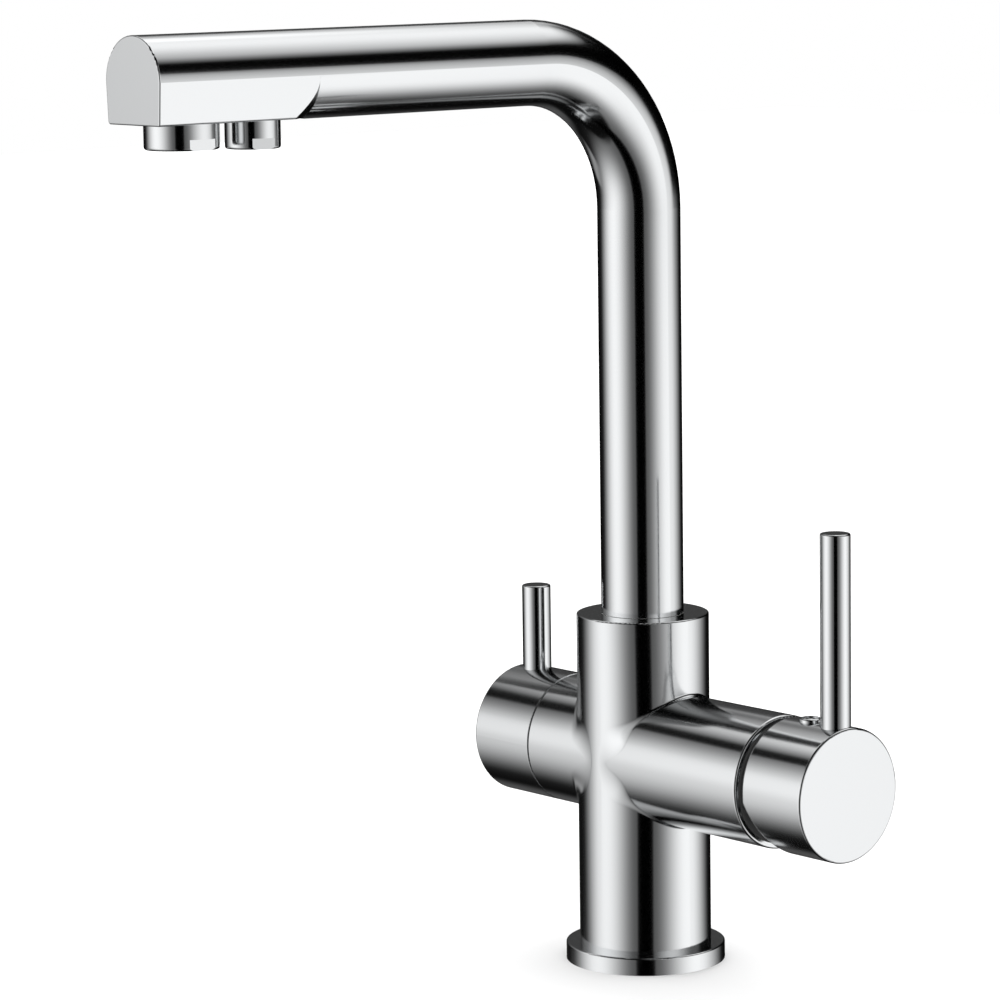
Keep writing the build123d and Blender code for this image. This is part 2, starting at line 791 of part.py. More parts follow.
# ================================================================ filtered water valve
with BuildPart() as filter_seat_seal:
    ring(filter_plane(valve_floor_x), seat_seal_outer, seat_seal_inner, seat_seal_thickness)
finish(filter_seat_seal, "filter_seat_seal")

for name, start, turn in (
    ("filter_fixed_disc", seat_x, 0),
    ("filter_moving_disc", valve_disc_x, 90),
):
    with BuildPart() as valve_disc:
        with BuildSketch(filter_plane(start)):
            Circle(valve_disc_radius)
            with PolarLocations(valve_port_offset, 2, start_angle=turn):
                Circle(valve_port_radius, mode=Mode.SUBTRACT)
        extrude(amount=valve_disc_thickness)
    finish(valve_disc, name)

with BuildPart() as filter_valve_housing:
    disc(filter_plane(seat_x), valve_bore - slip, valve_recess_x - seat_x)
    with BuildSketch(filter_plane(valve_recess_x)):
        RegularPolygon(valve_hex_flats / 2, 6, major_radius=False)
    extrude(amount=valve_hex_end - valve_recess_x)
    disc(filter_plane(valve_hex_end), valve_neck_radius, valve_neck_end - valve_hex_end)
    disc(filter_plane(seat_x), valve_disc_radius + slip, valve_cavity_end - seat_x, Mode.SUBTRACT)
    disc(
        filter_plane(valve_cavity_end),
        stem_radius + running,
        valve_neck_end - valve_cavity_end,
        Mode.SUBTRACT,
    )
finish(filter_valve_housing, "filter_valve_housing")

with BuildPart() as filter_stem:
    disc(filter_plane(stem_flange_x), valve_disc_radius - slip, stem_flange_thickness)
    disc(filter_plane(stem_flange_x), stem_radius, stem_end_x - stem_flange_x)
    for place in stem_seal_places:
        ring(
            filter_plane(valve_cavity_end + place),
            stem_radius + slip,
            stem_groove_floor,
            stem_seal_width + 2 * face_gap,
            Mode.SUBTRACT,
        )
    ring(
        filter_plane(valve_neck_end + face_gap),
        stem_radius + slip,
        clip_groove_floor,
        clip_thickness + 2 * face_gap,
        Mode.SUBTRACT,
    )
finish(filter_stem, "filter_stem")

for name, place in zip(("filter_stem_seal_inner", "filter_stem_seal_outer"), stem_seal_places):
    with BuildPart() as stem_seal:
        ring(
            filter_plane(valve_cavity_end + place + face_gap),
            stem_radius + running / 2,
            stem_groove_floor + running,
            stem_seal_width,
        )
    finish(stem_seal, name)

with BuildPart() as filter_stem_clip:
    clip_plane = filter_plane(valve_neck_end + 2 * face_gap)
    ring(clip_plane, clip_outer, clip_groove_floor + running, clip_thickness)
    with BuildSketch(clip_plane):
        Rectangle(clip_outer, clip_opening, align=(Align.MIN, Align.CENTER))
    extrude(amount=clip_thickness, mode=Mode.SUBTRACT)
finish(filter_stem_clip, "filter_stem_clip")

# ================================================================ filtered water handle
with BuildPart() as filter_handle_cap:
    disc(filter_plane(filter_rim_x), cap_radius, filter_face_x - filter_rim_x)
    fillet(edges().sort_by(Axis.X)[0], cap_edge_round)
    fillet(edges().filter_by(GeomType.CIRCLE).sort_by(Axis.X)[-1], parting_round)
    disc(
        filter_plane(filter_rim_x),
        cap_radius - filter_cap_wall,
        filter_cavity_end - filter_rim_x,
        Mode.SUBTRACT,
    )
    disc(filter_plane(filter_boss_start), filter_boss_radius, filter_cavity_end - filter_boss_start)
    disc(
        filter_plane(filter_boss_start),
        stem_radius + running,
        stem_end_x + running - filter_boss_start,
        Mode.SUBTRACT,
    )
    with Locations(up_plane(-filter_lever_x, 0, arm_axis_z + cap_radius)):
        CounterBoreHole(
            lever_spigot_radius + running,
            lever_radius + running,
            lever_seat_drop,
            lever_seat_drop + lever_spigot_length + slip,
        )
    with Locations(down_plane(-filter_grub_x, 0, arm_axis_z - cap_radius)):
        Hole(grub_radius + running, cap_radius)
finish(filter_handle_cap, "filter_handle_cap")

with BuildPart() as filter_lever_pin:
    lever_pin(-filter_lever_x, filter_lever_top)
finish(filter_lever_pin, "filter_lever_pin")

with BuildPart() as filter_grub_screw:
    grub_screw(down_plane(-filter_grub_x, 0, arm_axis_z - stem_radius))
finish(filter_grub_screw, "filter_grub_screw")


# ================================================================ spout
def nose_outline(radius, bottom, half_width, corner):
    """The arch-shaped section of the nose: round above the axis, flat below."""
    with BuildLine() as arch:
        crown = ThreePointArc((radius, 0), (0, radius), (-radius, 0))
        Polyline(crown @ 1, (-half_width, -bottom), (half_width, -bottom), crown @ 0)
    make_face(arch.edges())
    fillet(vertices().group_by(Axis.Y)[0], corner)


def spout_form(inset, corner, end_y, run_out_y):
    """The whole spout, drawn smaller by inset: an arched nose that a cone turns into a tube."""
    radius = tube_radius - inset
    with BuildSketch(nose_plane(run_out_y)) as arch:
        nose_outline(radius, nose_bottom - inset, nose_half_width - inset, corner)
    extrude(arch.sketch, amount=end_y - run_out_y)
    with BuildSketch(spout_side) as cone:
        with BuildLine():
            Polyline(
                (run_out_y, 0),
                (run_out_y, radius),
                (run_out_y + radius / tan(radians(cone_angle)), 2 * radius),
                (end_y, 2 * radius),
                (end_y, 0),
                close=True,
            )
        make_face()
    revolve(cone.sketch, axis=spout_axis, mode=Mode.INTERSECT)
    with BuildLine() as centre_line:
        FilletPolyline(
            (0, 0, spout_start),
            (0, 0, spout_axis_z),
            (0, -run_out_y, spout_axis_z),
            radius=bend_radius,
        )
    with BuildSketch(Plane.XY.offset(spout_start)) as round_section:
        Circle(radius)
    sweep(round_section.sketch, path=centre_line.wires()[0])


with BuildPart() as spout_hollow:
    spout_form(tube_wall, nose_corner_round / 2, spout_reach - tube_wall, cone_start + tube_wall)

with BuildPart() as spout_tube:
    spout_form(0, nose_corner_round, spout_reach, cone_start)
    # The flat underside runs out along the bottom of the tube.
    with BuildSketch(spout_side):
        with BuildLine():
            Polyline(
                (cone_start, -nose_bottom),
                (cone_start, -tube_radius - edge_round),
                (cone_start - run_out_length, -tube_radius - edge_round),
                close=True,
            )
        make_face()
    extrude(amount=tube_radius, both=True, mode=Mode.SUBTRACT)
    fillet(faces().sort_by(Axis.Y)[0].edges(), edge_round)
    add(spout_hollow.part, mode=Mode.SUBTRACT)
    for outlet_y, spigot in (
        (main_outlet_y, main_spigot_radius),
        (small_outlet_y, small_spigot_radius),
    ):
        disc(
            up_plane(0, -outlet_y, nose_z),
            spigot + outlet_fit,
            2 * tube_wall,
            Mode.SUBTRACT,
        )
finish(spout_tube, "spout_tube")

with BuildPart() as spout_fitting:
    fitting_bottom = swivel_floor + swivel_floor_gap
    disc(up_plane(0, 0, fitting_bottom), swivel_bore - running, spout_start - fitting_bottom)
    disc(up_plane(0, 0, spout_start), tube_radius - tube_wall - slip, fitting_insert)
    disc(
        up_plane(0, 0, fitting_bottom),
        swivel_through,
        spout_start + fitting_insert - fitting_bottom,
        Mode.SUBTRACT,
    )
    for rise in swivel_seal_rises:
        ring(
            up_plane(0, 0, swivel_floor + rise),
            swivel_bore,
            swivel_groove_floor,
            swivel_seal_section,
            Mode.SUBTRACT,
        )
    ring(
        up_plane(0, 0, lock_height - lock_groove_width / 2),
        swivel_bore,
        swivel_groove_floor,
        lock_groove_width,
        Mode.SUBTRACT,
    )
finish(spout_fitting, "spout_fitting")

for name, rise in zip(("spout_seal_lower", "spout_seal_upper"), swivel_seal_rises):
    with BuildPart() as swivel_seal:
        ring(
            up_plane(0, 0, swivel_floor + rise + face_gap),
            swivel_bore - running / 2,
            swivel_groove_floor + running,
            swivel_seal_section - 2 * face_gap,
        )
    finish(swivel_seal, name)

with BuildPart() as outlet_block:
    block_end = spout_reach - tube_wall - block_clearance
    block_inset = tube_wall + block_clearance
    with BuildSketch(nose_plane(block_rear)):
        nose_outline(
            tube_radius - block_inset,
            nose_bottom - block_inset,
            nose_half_width - block_inset,
            nose_corner_round / 2,
        )
        # Open above, so that mixed water can pass over the block.
        with Locations((0, block_top + tube_radius / 2)):
            Rectangle(2 * tube_radius, tube_radius, mode=Mode.SUBTRACT)
    extrude(amount=block_end - block_rear)
    block_bottom = nose_z + block_inset
    bore_reach = spigot_height + washer_thickness - block_inset
    # Mixed water falls through the front bore from the space above the block.
    with Locations(down_plane(0, -main_outlet_y, block_bottom)):
        CounterBoreHole(
            main_spigot_radius - washer_overlap,
            main_spigot_radius + outlet_fit,
            bore_reach,
            nose_bottom + block_top,
        )
    # Filtered water comes in from behind and turns down into the rear bore.
    with Locations(down_plane(0, -small_outlet_y, block_bottom)):
        CounterBoreHole(
            small_spigot_radius - washer_overlap,
            small_spigot_radius + outlet_fit,
            bore_reach,
            nose_bottom - block_inset + filter_tube_radius,
        )
    with BuildSketch(nose_plane(block_rear)):
        Circle(filter_tube_radius + running)
    extrude(amount=small_outlet_y - block_rear, mode=Mode.SUBTRACT)
finish(outlet_block, "outlet_block")

with BuildPart() as filtered_water_tube:
    filter_tube_end = small_outlet_y - small_spigot_radius + washer_overlap - 2 * slip
    with BuildLine() as tube_line:
        FilletPolyline(
            (0, 0, filter_end_z),
            (0, 0, spout_axis_z),
            (0, -filter_tube_end, spout_axis_z),
            radius=bend_radius,
        )
    with BuildSketch(Plane.XY.offset(filter_end_z)):
        Circle(filter_tube_radius)
        Circle(filter_tube_radius - filter_tube_wall, mode=Mode.SUBTRACT)
    sweep(path=tube_line.wires()[0])
finish(filtered_water_tube, "filtered_water_tube")


def outlet_ring(y, radius, height, spigot_radius, bore, flats, flats_turn):
    """A screw-in outlet: a smooth ring with two spanner flats near its mouth."""
    disc(down_plane(0, -y, nose_z), radius, height)
    mouth = edges().filter_by(GeomType.CIRCLE).group_by(Axis.Z)[0]
    fillet(mouth, outlet_edge_round)
    flats_plane = Plane(
        origin=(0, -y, nose_z - height),
        x_dir=Vector(1, 0, 0).rotate(Axis.Z, flats_turn),
        z_dir=(0, 0, 1),
    )
    with BuildSketch(flats_plane) as flats_cut:
        with Locations((flats / 2, 0), (-flats / 2 - radius, 0)):
            Rectangle(radius, 2 * radius, align=(Align.MIN, Align.CENTER))
    extrude(flats_cut.sketch, amount=flats_height, mode=Mode.SUBTRACT)
    disc(up_plane(0, -y, nose_z), spigot_radius, spigot_height)
    disc(
        up_plane(0, -y, nose_z - height),
        bore,
        height + spigot_height,
        Mode.SUBTRACT,
    )


def aerator_insert(y, height, bore, cell_circles, cell_counts, cell_radius):
    """A cup with a honeycomb floor that straightens the water."""
    mouth_z = nose_z - height + insert_recess
    disc(up_plane(0, -y, mouth_z), bore - slip, insert_height)
    disc(
        up_plane(0, -y, mouth_z + insert_plate),
        bore - slip - insert_wall,
        insert_height - insert_plate,
        Mode.SUBTRACT,
    )
    with BuildSketch(up_plane(0, -y, mouth_z)) as honeycomb:
        for circle_radius, cells in zip(cell_circles, cell_counts):
            with PolarLocations(circle_radius, cells):
                RegularPolygon(cell_radius, 6)
    extrude(honeycomb.sketch, amount=insert_plate, mode=Mode.SUBTRACT)


def outlet_washer(y, spigot_radius):
    """The flat washer between an outlet's spigot and the block."""
    ring(
        up_plane(0, -y, nose_z + spigot_height),
        spigot_radius,
        spigot_radius - washer_overlap,
        washer_thickness,
    )


with BuildPart() as main_outlet_ring:
    outlet_ring(
        main_outlet_y,
        main_outlet_radius,
        main_outlet_height,
        main_spigot_radius,
        main_bore,
        main_flats,
        main_flats_turn,
    )
finish(main_outlet_ring, "main_outlet_ring")

with BuildPart() as main_aerator_insert:
    aerator_insert(
        main_outlet_y,
        main_outlet_height,
        main_bore,
        main_cell_circles,
        main_cell_counts,
        main_cell_radius,
    )
finish(main_aerator_insert, "main_aerator_insert")

with BuildPart() as main_outlet_washer:
    outlet_washer(main_outlet_y, main_spigot_radius)
finish(main_outlet_washer, "main_outlet_washer")

with BuildPart() as filtered_outlet_ring:
    outlet_ring(
        small_outlet_y,
        small_outlet_radius,
        small_outlet_height,
        small_spigot_radius,
        small_bore,
        small_flats,
        small_flats_turn,
    )
finish(filtered_outlet_ring, "filtered_outlet_ring")

with BuildPart() as filtered_aerator_insert:
    aerator_insert(
        small_outlet_y,
        small_outlet_height,
        small_bore,
        small_cell_circles,
        small_cell_counts,
        small_cell_radius,
    )
finish(filtered_aerator_insert, "filtered_aerator_insert")

with BuildPart() as filtered_outlet_washer:
    outlet_washer(small_outlet_y, small_spigot_radius)
finish(filtered_outlet_washer, "filtered_outlet_washer")
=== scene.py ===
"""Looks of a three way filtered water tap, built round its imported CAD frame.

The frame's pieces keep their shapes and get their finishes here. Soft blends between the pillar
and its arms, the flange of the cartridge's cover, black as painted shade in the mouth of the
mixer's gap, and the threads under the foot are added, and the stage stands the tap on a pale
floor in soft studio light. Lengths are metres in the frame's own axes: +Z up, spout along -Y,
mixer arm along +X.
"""

import json
from math import atan2, cos, degrees, pi, radians, sin, sqrt

import bpy
from mathutils import Matrix, Vector


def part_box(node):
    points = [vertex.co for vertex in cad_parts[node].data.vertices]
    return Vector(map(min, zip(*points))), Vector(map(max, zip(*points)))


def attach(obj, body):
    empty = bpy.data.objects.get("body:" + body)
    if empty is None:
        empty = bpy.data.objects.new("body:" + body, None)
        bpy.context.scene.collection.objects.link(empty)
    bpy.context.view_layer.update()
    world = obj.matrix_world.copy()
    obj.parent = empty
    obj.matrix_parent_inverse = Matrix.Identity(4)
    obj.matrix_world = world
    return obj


bl_info = {
    "name": "Three way water tap",
    "version": (1, 0, 0),
    "blender": (4, 5, 0),
    "location": "View3D > Sidebar > Tap",
    "description": "Finishes the tap's pieces, adds its blends and threads, and sets its stage",
    "category": "Object",
}

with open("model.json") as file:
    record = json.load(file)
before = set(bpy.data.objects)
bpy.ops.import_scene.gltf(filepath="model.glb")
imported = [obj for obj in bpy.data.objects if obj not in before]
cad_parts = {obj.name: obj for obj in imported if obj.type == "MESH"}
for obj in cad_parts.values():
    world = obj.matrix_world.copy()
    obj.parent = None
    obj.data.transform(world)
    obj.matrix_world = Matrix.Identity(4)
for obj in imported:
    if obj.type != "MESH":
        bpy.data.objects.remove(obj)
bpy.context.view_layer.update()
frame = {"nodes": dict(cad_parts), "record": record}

MM = 0.001
BLEND_LIFT = 0.02 * MM  # keeps a blend's face just clear of the casting
BLEND_SKIRT = 1.5 * MM  # depth of a blend's buried edge
SMALL_ANGLE = 1e-6  # two directions closer than this count as one
FLANGE_BORE = 14.8 * MM
FLANGE_SINK = 0.02 * MM  # depth of the flange's foot in the arm's end
FLANGE_BEVEL = 0.45  # bevel of the flange's rim, as a share of its thickness
FLANGE_STEPS = 128
FLANGE_CREASE = radians(50)  # sharper edges than this keep their crease
MERGE_DISTANCE = 0.001 * MM
THREAD_HEIGHT = 0.54  # height of a thread's ridge, as a share of its pitch
THREAD_GAP = 0.04  # share of the pitch left free at each side of the ridge's foot
THREAD_SINK = 0.02 * MM  # depth of the ridge's foot in the wall
THREAD_CREASE = radians(25)  # the same for a thread's ridge

# ---------------------------------------------------------------- places from the frame
_, body_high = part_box("body_casting")
cap_low, cap_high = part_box("mixer_handle_cap")
body_radius = body_high.y
arm_radius = cap_high.y
arm_axis_z = (cap_low.z + cap_high.z) / 2
mixer_arm_end = body_high.x
mounts = {mount["name"]: mount for mount in frame["record"]["mounts"]}


# ================================================================ settings
class TapFinish(bpy.types.PropertyGroup):
    """Colours and polish of the tap's surfaces."""

    chrome_colour: bpy.props.FloatVectorProperty(
        name="Chrome", description="Reflection colour of the chrome plate",
        subtype="COLOR", size=4, min=0, max=1, default=(0.90, 0.905, 0.91, 1),
    )
    chrome_roughness: bpy.props.FloatProperty(
        name="Chrome roughness", description="Roughness of clean polished chrome",
        min=0, max=1, default=0.012, subtype="FACTOR",
    )
    brass_colour: bpy.props.FloatVectorProperty(
        name="Brass", description="Reflection colour of turned brass",
        subtype="COLOR", size=4, min=0, max=1, default=(0.73, 0.53, 0.25, 1),
    )
    steel_colour: bpy.props.FloatVectorProperty(
        name="Steel", description="Reflection colour of the screws and pins",
        subtype="COLOR", size=4, min=0, max=1, default=(0.56, 0.56, 0.55, 1),
    )
    rubber_colour: bpy.props.FloatVectorProperty(
        name="Rubber", description="Colour of the seals",
        subtype="COLOR", size=4, min=0, max=1, default=(0.018, 0.018, 0.019, 1),
    )
    plastic_colour: bpy.props.FloatVectorProperty(
        name="Plastic", description="Colour of the moulded inner pieces",
        subtype="COLOR", size=4, min=0, max=1, default=(0.70, 0.70, 0.67, 1),
    )
    ceramic_colour: bpy.props.FloatVectorProperty(
        name="Ceramic", description="Colour of the lapped discs",
        subtype="COLOR", size=4, min=0, max=1, default=(0.84, 0.83, 0.80, 1),
    )


class TapBlends(bpy.types.PropertyGroup):
    """Soft blends between the pillar and its arms, and the cover's flange in the mixer's gap, black
    as painted shade there.
    """

    tight_radius: bpy.props.FloatProperty(
        name="Tight radius", description="Radius of the blend above and below the arm",
        default=1.1 * MM, min=1.1 * MM, precision=5, subtype="DISTANCE",
    )
    wide_radius: bpy.props.FloatProperty(
        name="Wide radius", description="Radius of the blend in front and behind",
        default=45 * MM, min=5 * MM, precision=4, subtype="DISTANCE",
    )
    tight_from: bpy.props.FloatProperty(
        name="Tight from", description="Angle up from the front where the blend is at its tightest",
        default=radians(58), min=radians(20), max=radians(90), subtype="ANGLE",
    )
    turns: bpy.props.IntProperty(
        name="Sections", description="Sections round one blend", default=240, min=48,
    )
    strips: bpy.props.IntProperty(
        name="Strips", description="Strips across one blend", default=14, min=6,
    )
    # The cover's flange is black rubber: painted shade in the mouth of the mixer's gap.
    flange_radius: bpy.props.FloatProperty(
        name="Cover flange", description="Radius of the cover's flange on the end of the mixer arm",
        default=20.4 * MM, min=19.2 * MM, max=21.0 * MM, precision=5, subtype="DISTANCE",
    )
    flange_thickness: bpy.props.FloatProperty(
        name="Flange thickness", description="How far the cover's flange stands on the arm's end",
        default=0.5 * MM, min=0.2 * MM, max=0.6 * MM, precision=5, subtype="DISTANCE",
    )


class TapThreads(bpy.types.PropertyGroup):
    """Threads of the connections under the foot."""

    stud_pitch: bpy.props.FloatProperty(
        name="Stud pitch", description="Pitch of the fixing stud's thread",
        default=1.25 * MM, min=0.5 * MM, precision=5, subtype="DISTANCE",
    )
    port_pitch: bpy.props.FloatProperty(
        name="Port pitch", description="Pitch of the hose ports' threads",
        default=1.0 * MM, min=0.5 * MM, precision=5, subtype="DISTANCE",
    )
    steps: bpy.props.IntProperty(
        name="Steps", description="Faces in one turn of a thread", default=32, min=12,
    )


class TapStudio(bpy.types.PropertyGroup):
    """Camera, floor and studio light."""

    camera_place: bpy.props.FloatVectorProperty(
        name="Camera", description="Place of the camera",
        subtype="TRANSLATION", size=3, default=(1.02585, -0.93615, 0.36155),
    )
    camera_yaw: bpy.props.FloatProperty(
        name="Yaw", description="Turn of the camera from looking along +Y",
        subtype="ANGLE", default=radians(49.594),
    )
    camera_pitch: bpy.props.FloatProperty(
        name="Pitch", description="How far the camera looks down",
        subtype="ANGLE", default=radians(8.299),
    )
    camera_roll: bpy.props.FloatProperty(
        name="Roll", description="Roll of the camera about its own axis",
        subtype="ANGLE", default=radians(-0.823),
    )
    lens: bpy.props.FloatProperty(
        name="Lens", description="Focal length of the camera on a 36 mm frame",
        default=149.21, min=10, subtype="DISTANCE_CAMERA",
    )
    floor_size: bpy.props.FloatProperty(
        name="Floor", description="Side of the square floor",
        default=8.0, min=1, subtype="DISTANCE",
    )
    floor_colour: bpy.props.FloatVectorProperty(
        name="Floor colour", description="Colour of the pale floor",
        subtype="COLOR", size=4, min=0, max=1, default=(0.80, 0.80, 0.80, 1),
    )
    dome_spread: bpy.props.FloatProperty(
        name="Dome spread", description="Angle that the soft light dome over the tap takes up",
        default=radians(150), min=radians(20), max=radians(180), subtype="ANGLE",
    )
    dome_strength: bpy.props.FloatProperty(
        name="Dome strength", description="Strength of the soft light dome", default=4.6, min=0,
    )


# ================================================================ node helpers
FLOAT = "NodeSocketFloat"
VECTOR = "NodeSocketVector"


def add_node(tree, kind, label="", **settings):
    """A new node with its settings."""
    node = tree.nodes.new(kind)
    node.label = label
    for name, value in settings.items():
        setattr(node, name, value)
    return node


def feed(tree, socket, value):
    """Link a socket to another one, or set it to a plain value."""
    if isinstance(value, bpy.types.NodeSocket):
        tree.links.new(value, socket)
    else:
        socket.default_value = value


def calculate(tree, operation, *values, label=""):
    """The result of a Math node."""
    node = add_node(tree, "ShaderNodeMath", label, operation=operation)
    for socket, value in zip(node.inputs, values):
        feed(tree, socket, value)
    return node.outputs[0]


def smooth_step(tree, value, start, end):
    """0 before start, 1 after end and a smooth curve between; start may be above end."""
    node = add_node(tree, "ShaderNodeMapRange", interpolation_type="SMOOTHSTEP")
    for name, item in (("Value", value), ("From Min", start), ("From Max", end)):
        feed(tree, node.inputs[name], item)
    return node.outputs["Result"]


def remap(tree, value, low, high):
    """A 0 to 1 value brought to the range from low to high."""
    node = add_node(tree, "ShaderNodeMapRange")
    for name, item in (("Value", value), ("To Min", low), ("To Max", high)):
        feed(tree, node.inputs[name], item)
    return node.outputs["Result"]


def new_group(name, inputs, outputs):
    """An empty shader node group with its inputs and float outputs, and both its end nodes."""
    group = bpy.data.node_groups.new(name, "ShaderNodeTree")
    for label, kind, value in inputs:
        socket = group.interface.new_socket(name=label, in_out="INPUT", socket_type=kind)
        if value is not None:
            socket.default_value = value
    for label in outputs:
        group.interface.new_socket(name=label, in_out="OUTPUT", socket_type=FLOAT)
    source = add_node(group, "NodeGroupInput")
    result = add_node(group, "NodeGroupOutput")
    return group, source.outputs, result.inputs


def place_group(tree, group, **values):
    """A node group placed in a tree, with its inputs set by name (_ stands for a space)."""
    node = add_node(tree, "ShaderNodeGroup", group.name, node_tree=group)
    for name, value in values.items():
        feed(tree, node.inputs[name.replace("_", " ")], value)
    return node.outputs


def noise(tree, vector, scale, detail=2.0, roughness=0.5):
    """The value of a noise texture."""
    node = add_node(tree, "ShaderNodeTexNoise")
    for name, value in (
        ("Vector", vector), ("Scale", scale), ("Detail", detail), ("Roughness", roughness),
    ):
        feed(tree, node.inputs[name], value)
    return node.outputs["Fac"]


# ================================================================ shared surface effects
# Texture scales are in features per metre.
CLOUD_SCALE = 38.0  # clouds of polish
UNEVEN_SCALE = 55.0  # slight unevenness
DROP_SCALE = 210.0  # dried drops
DROP_RIM = (0.16, 0.10)  # where a drop's rim starts and is full, from outside
DROP_HOLLOW = (0.06, 0.11)  # the same from inside
DROP_AREA_SCALE = 24.0  # areas that have drops
DROP_AREA = (0.60, 0.72)
WOBBLE_SCALE = 400.0  # bends in turned rings
TINT_SCALE = 130.0  # patches of turned metal


def polish_group():
    """Faint variation of a polished surface: clouds of polish, dried drops and unevenness."""
    group, source, result = new_group(
        "polish",
        (
            ("Position", VECTOR, None),
            ("Roughness", FLOAT, 0.03),
            ("Cloud", FLOAT, 0.01),
            ("Marks", FLOAT, 0.02),
        ),
        ("Roughness", "Height"),
    )
    cloud = noise(group, source["Position"], CLOUD_SCALE, 3.0)
    spots = add_node(group, "ShaderNodeTexVoronoi", "dried drops", feature="F1")
    feed(group, spots.inputs["Vector"], source["Position"])
    feed(group, spots.inputs["Scale"], DROP_SCALE)
    feed(group, spots.inputs["Randomness"], 1.0)
    rim = smooth_step(group, spots.outputs["Distance"], *DROP_RIM)
    hollow = smooth_step(group, spots.outputs["Distance"], *DROP_HOLLOW)
    where = smooth_step(
        group, noise(group, source["Position"], DROP_AREA_SCALE, 1.0), *DROP_AREA
    )
    marks = calculate(group, "MULTIPLY", calculate(group, "MULTIPLY", rim, hollow), where)
    clouded = calculate(group, "MULTIPLY_ADD", cloud, source["Cloud"], source["Roughness"])
    marked = calculate(group, "MULTIPLY_ADD", marks, source["Marks"], clouded)
    feed(group, result["Roughness"], marked)
    feed(group, result["Height"], noise(group, source["Position"], UNEVEN_SCALE, 1.0))
    return group


def turning_group():
    """Fine rings that a lathe tool leaves round the local X axis."""
    group, source, result = new_group(
        "turning",
        (("Position", VECTOR, None), ("Pitch", FLOAT, 0.25 * MM), ("Unevenness", FLOAT, 0.4)),
        ("Height", "Tint"),
    )
    split = add_node(group, "ShaderNodeSeparateXYZ")
    feed(group, split.inputs[0], source["Position"])
    squares = [calculate(group, "POWER", split.outputs[name], 2.0) for name in ("Y", "Z")]
    radius = calculate(group, "SQRT", calculate(group, "ADD", *squares))
    along = calculate(group, "ADD", split.outputs["X"], radius)
    turns = calculate(group, "DIVIDE", along, source["Pitch"])
    wobble = noise(group, source["Position"], WOBBLE_SCALE, 2.0)
    turns = calculate(group, "MULTIPLY_ADD", wobble, source["Unevenness"], turns)
    wave = calculate(group, "SINE", calculate(group, "MULTIPLY", turns, 2 * pi))
    feed(group, result["Height"], calculate(group, "MULTIPLY_ADD", wave, 0.5, 0.5))
    feed(group, result["Tint"], noise(group, source["Position"], TINT_SCALE, 3.0))
    return group


def grain_group():
    """Fine moulded or lapped grain with larger soft patches."""
    group, source, result = new_group(
        "grain",
        (("Position", VECTOR, None), ("Scale", FLOAT, 900.0), ("Patch scale", FLOAT, 90.0)),
        ("Height", "Patches"),
    )
    feed(group, result["Height"], noise(group, source["Position"], source["Scale"], 4.0, 0.6))
    feed(group, result["Patches"], noise(group, source["Position"], source["Patch scale"], 3.0))
    return group


# ================================================================ materials
CHROME_CLOUD = 0.006  # roughness that cloudy polish adds
CHROME_MARKS = 0.012  # roughness that dried drops add
CHROME_SHADE = 0.985  # darkest share of the chrome's colour
CHROME_BUMP = (0.012, 0.3 * MM)  # strength and depth of each bump
BRASS_BUMP = (0.25, 0.02 * MM)
STEEL_BUMP = (0.3, 0.015 * MM)
GRAIN_DEPTH = 0.05 * MM


def new_material(name):
    """A new node material's tree, Principled node and Object coordinates."""
    material = bpy.data.materials.new(name)
    material.use_nodes = True
    tree = material.node_tree
    place = add_node(tree, "ShaderNodeTexCoord").outputs["Object"]
    return tree, tree.nodes["Principled BSDF"], place


def centred(tree, place, centre):
    """Object coordinates moved to a centre."""
    node = add_node(tree, "ShaderNodeMapping", vector_type="TEXTURE")
    feed(tree, node.inputs["Vector"], place)
    node.inputs["Location"].default_value = centre
    return node.outputs["Vector"]


def add_bump(tree, shader, height, strength, distance):
    """Feed a height into a shader's normal."""
    bump = add_node(tree, "ShaderNodeBump")
    feed(tree, bump.inputs["Height"], height)
    bump.inputs["Strength"].default_value = strength
    bump.inputs["Distance"].default_value = distance
    feed(tree, shader.inputs["Normal"], bump.outputs["Normal"])


def tinted(tree, factor, low, high):
    """A colour between two, by a factor."""
    node = add_node(tree, "ShaderNodeMix", data_type="RGBA")
    feed(tree, node.inputs[0], factor)
    feed(tree, node.inputs[6], low)
    feed(tree, node.inputs[7], high)
    return node.outputs[2]


def shaded(colour, share):
    """A colour made darker or lighter by a share."""
    return tuple(min(1.0, channel * share) for channel in colour[:3]) + (1.0,)


def chrome_material(finish, polish):
    """Chrome plate: a mirror with faint clouds, unevenness and dried drops."""
    tree, shader, place = new_material("polished_chrome")
    shader.inputs["Metallic"].default_value = 1.0
    surface = place_group(
        tree, polish, Position=place, Roughness=finish.chrome_roughness,
        Cloud=CHROME_CLOUD, Marks=CHROME_MARKS,
    )
    feed(tree, shader.inputs["Roughness"], surface["Roughness"])
    colour = finish.chrome_colour
    tint = tinted(tree, surface["Height"], shaded(colour, CHROME_SHADE), tuple(colour))
    feed(tree, shader.inputs["Base Color"], tint)
    add_bump(tree, shader, surface["Height"], *CHROME_BUMP)


def turned_material(name, colour, turning, pitch, roughness, shades, bump, centre=(0, 0, 0)):
    """Turned metal: rings of a lathe tool round a centre, in patches of tint and roughness."""
    tree, shader, place = new_material(name)
    shader.inputs["Metallic"].default_value = 1.0
    rings = place_group(tree, turning, Position=centred(tree, place, centre), Pitch=pitch)
    feed(tree, shader.inputs["Roughness"], remap(tree, rings["Tint"], *roughness))
    tint = tinted(tree, rings["Tint"], *(shaded(colour, shade) for shade in shades))
    feed(tree, shader.inputs["Base Color"], tint)
    add_bump(tree, shader, rings["Height"], *bump)


